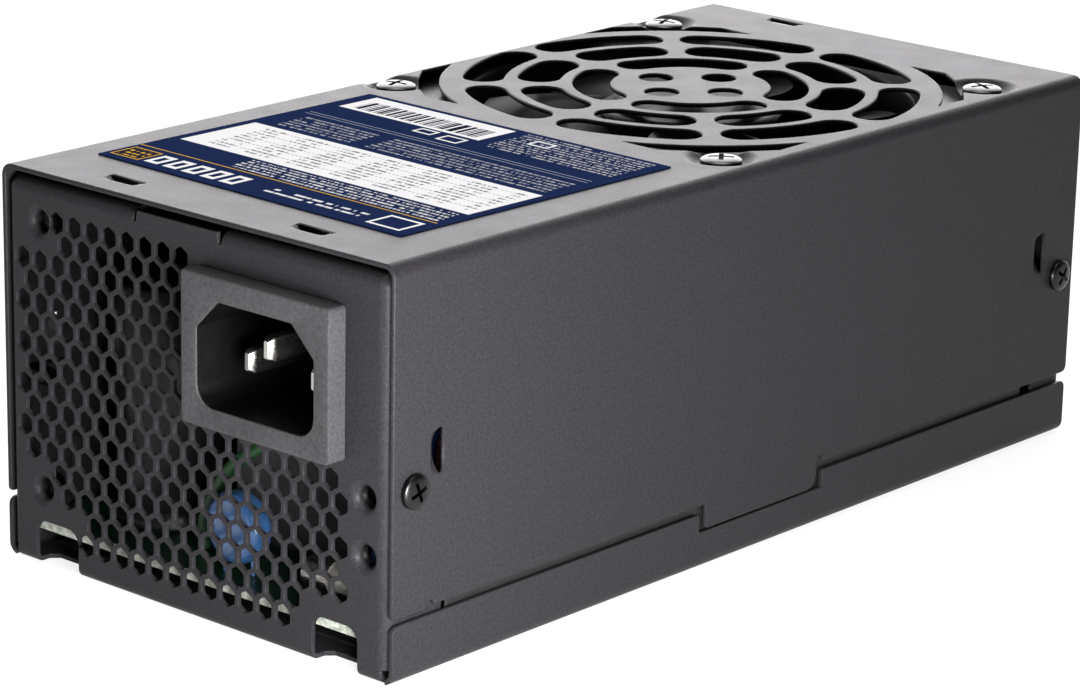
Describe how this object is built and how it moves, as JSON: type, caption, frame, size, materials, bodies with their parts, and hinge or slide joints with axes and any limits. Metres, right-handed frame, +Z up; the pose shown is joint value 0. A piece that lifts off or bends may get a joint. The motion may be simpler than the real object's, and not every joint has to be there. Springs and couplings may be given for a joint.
{
  "type": "power supply unit",
  "caption": "Slim computer power supply: steel case with a honeycomb inlet panel, a mains inlet, a top fan behind a ring grille, and its circuit board inside.",
  "frame": {"origin": "centre of the underside of the overall box", "axes": "X across the width, +Y from the inlet panel to the cable end, +Z up to the fan side"},
  "size_m": [0.088, 0.1804, 0.0652],
  "materials": {
    "case_coating": "satin black powder coat",
    "inlet_plastic": "grained black plastic",
    "bushing_plastic": "matte",
    "fan_plastic": "semi-gloss black",
    "bright_nickel": "bright nickel plate",
    "black_steel": "black oxide",
    "brass": "turned",
    "plain_steel": "ground",
    "label_film": "printed film",
    "circuit_board": "solder mask",
    "insulation_film": "matte",
    "aluminium": "mill finish",
    "ferrite": "sintered",
    "copper_winding": "enamelled copper wire",
    "winding_tape": "polyester tape",
    "blue_epoxy": "dipped epoxy",
    "grey_plastic": "moulded",
    "black_plastic": "moulded",
    "capacitor_sleeve": "shrunk film",
    "fuse_glass": "clear glass with metal caps",
    "magnet": "bonded ferrite",
    "brown_wire": "PVC insulation",
    "blue_wire": "PVC insulation",
    "green_wire": "PVC insulation with a yellow stripe",
    "black_wire": "PVC insulation"
  },
  "bodies": {
    "case": {"top_cover": "case_coating", "base_chassis": "case_coating", "ac_inlet_body": "inlet_plastic", "cable_bushing": "bushing_plastic", "rating_label": "label_film", "fan_frame": "fan_plastic", "line_pin": "bright_nickel", "neutral_pin": "bright_nickel", "earth_pin": "bright_nickel", "fan_screw_1": "bright_nickel", "fan_screw_2": "bright_nickel", "fan_screw_3": "bright_nickel", "fan_screw_4": "bright_nickel", "board_screw_1": "bright_nickel", "board_screw_2": "bright_nickel", "board_screw_3": "bright_nickel", "board_screw_4": "bright_nickel", "cover_screw_1": "black_steel", "cover_screw_2": "black_steel", "cover_screw_3": "black_steel", "cover_screw_4": "black_steel", "fan_bearing_tube": "brass", "fan_bearing": "brass", "board_standoff_1": "brass", "board_standoff_2": "brass", "board_standoff_3": "brass", "board_standoff_4": "brass", "fan_stator": "plain_steel", "fan_circuit_board": "circuit_board", "main_circuit_board": "circuit_board", "control_board": "circuit_board", "insulation_sheet": "insulation_film", "primary_heatsink": "aluminium", "secondary_heatsink": "aluminium", "line_choke_core": "ferrite", "pfc_choke_core": "ferrite", "output_choke_core": "ferrite", "transformer_core": "ferrite", "standby_transformer": "ferrite", "line_choke_winding": "copper_winding", "pfc_choke_winding": "copper_winding", "output_choke_winding": "copper_winding", "transformer_winding": "winding_tape", "varistor": "blue_epoxy", "y_capacitor": "blue_epoxy", "x_capacitor": "grey_plastic", "bridge_rectifier": "black_plastic", "power_transistor": "black_plastic", "output_rectifier": "black_plastic", "bulk_capacitor": "capacitor_sleeve", "output_capacitor_1": "capacitor_sleeve", "output_capacitor_2": "capacitor_sleeve", "fuse": "fuse_glass", "line_lead": "brown_wire", "neutral_lead": "blue_wire", "earth_lead": "green_wire", "fan_lead": "black_wire"},
    "fan": {"fan_rotor": "fan_plastic", "fan_shaft": "plain_steel", "fan_magnet_ring": "magnet"}
  },
  "joints": [
    {"name": "fan_spin", "type": "hinge", "parent": "case", "child": "fan", "pos_m": [-0.0012, 0.0334, 0.0552], "axis": [0, 0, 1], "continuous": true}
  ]
}
